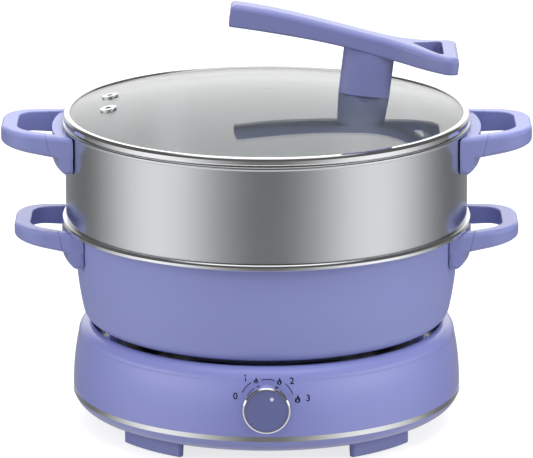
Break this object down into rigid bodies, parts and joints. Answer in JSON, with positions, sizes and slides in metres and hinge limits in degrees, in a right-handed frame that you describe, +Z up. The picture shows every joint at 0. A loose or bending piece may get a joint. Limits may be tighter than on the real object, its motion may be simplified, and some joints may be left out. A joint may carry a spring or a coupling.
{
  "type": "electric hot pot with lid",
  "caption": "Free-standing electric hot pot: round heated base with a dial, lift-out pot, stacked steel steamer tier and a glass lid with a raised off-centre handle.",
  "frame": {"origin": "on the surface it stands on, at the centre of the round base", "axes": "+Z up along the pot's axis, dial faces -Y, side handles on +X and -X"},
  "size_m": [0.3946, 0.312, 0.3179],
  "materials": {
    "base_plastic": "gloss lavender moulding",
    "lower_plastic": "gloss lavender moulding",
    "foot_plastic": "satin lavender moulding",
    "foot_rubber": "soft dark rubber",
    "trim_steel": "bright rolled band",
    "screw_steel": "zinc plated",
    "plate_aluminium": "cast and turned face",
    "element_steel": "heat darkened tube",
    "reflector_steel": "pressed sheet",
    "sensor_metal": "polished cap",
    "spring_steel": "spring wire",
    "ceramic": "unglazed steatite look",
    "black_plastic": "fine moulded grain",
    "lead_silicone": "silicone sleeve",
    "knob_plastic": "satin lavender cap",
    "knob_chrome": "mirror plated",
    "pointer_white": "pale inlay",
    "pot_enamel": "satin lavender coat, dark non-stick inside",
    "rim_chrome": "mirror rolled ring",
    "base_disc_aluminium": "turned disc",
    "steamer_steel": "satin rolled sheet",
    "tray_steel": "punched sheet",
    "handle_plastic": "satin lavender moulding",
    "lid_glass": "clear tempered",
    "lid_steel": "polished rolled ring",
    "vent_steel": "polished eyelet",
    "lid_handle_plastic": "satin lavender moulding"
  },
  "bodies": {
    "base": {"base_upper_housing": "base_plastic", "base_lower_housing": "lower_plastic", "base_trim_band": "trim_steel", "base_screws": "screw_steel", "foot_front_left": "foot_plastic", "foot_front_right": "foot_plastic", "foot_rear_left": "foot_plastic", "foot_rear_right": "foot_plastic", "foot_pads": "foot_rubber", "heater_plate": "plate_aluminium", "heating_element": "element_steel", "heat_reflector": "reflector_steel", "plate_standoffs": "screw_steel", "sensor_guide": "screw_steel", "thermostat": "ceramic", "thermal_fuse": "ceramic", "dial_collar": "black_plastic", "rotary_switch": "black_plastic", "power_inlet": "black_plastic", "inlet_pins": "sensor_metal", "internal_leads": "lead_silicone"},
    "sensor": {"thermal_sensor": "sensor_metal", "sensor_spring": "spring_steel"},
    "knob": {"control_knob": "knob_plastic", "knob_ring": "knob_chrome", "knob_pointer": "pointer_white", "switch_shaft": "screw_steel"},
    "pot": {"pot_body": "pot_enamel", "pot_rim_band": "rim_chrome", "pot_base_disc": "base_disc_aluminium", "pot_mount_left": "handle_plastic", "pot_mount_right": "handle_plastic", "pot_grip_left": "handle_plastic", "pot_grip_right": "handle_plastic", "pot_brackets": "screw_steel", "pot_handle_screws": "screw_steel"},
    "steamer": {"steamer_wall": "steamer_steel", "steamer_tray": "tray_steel", "steamer_mount_left": "handle_plastic", "steamer_mount_right": "handle_plastic", "steamer_grip_left": "handle_plastic", "steamer_grip_right": "handle_plastic", "steamer_brackets": "screw_steel", "steamer_handle_screws": "screw_steel"},
    "lid": {"lid_glass": "lid_glass", "lid_ring": "lid_steel", "lid_vents": "vent_steel", "lid_handle_bar": "lid_handle_plastic", "lid_handle_stem": "lid_handle_plastic", "lid_handle_washer": "screw_steel", "lid_handle_screw": "screw_steel"}
  },
  "joints": [
    {"name": "knob_turn", "type": "hinge", "parent": "base", "child": "knob", "pos_m": [0, -0.15, 0.0503], "axis": [0, -1, 0], "range_deg": [-45, 90]},
    {"name": "sensor_press", "type": "slide", "parent": "base", "child": "sensor", "axis": [0, 0, 1], "range_m": [-0.003, 0], "stiffness_N_per_m": 400, "springref_m": 0.004, "deforming": ["sensor_spring"]},
    {"name": "pot_lift", "type": "slide", "parent": "base", "child": "pot", "axis": [0, 0, 1], "range_m": [0, 0.15]},
    {"name": "steamer_lift", "type": "slide", "parent": "pot", "child": "steamer", "axis": [0, 0, 1], "range_m": [0, 0.12]},
    {"name": "lid_lift", "type": "slide", "parent": "steamer", "child": "lid", "axis": [0, 0, 1], "range_m": [0, 0.12]}
  ]
}
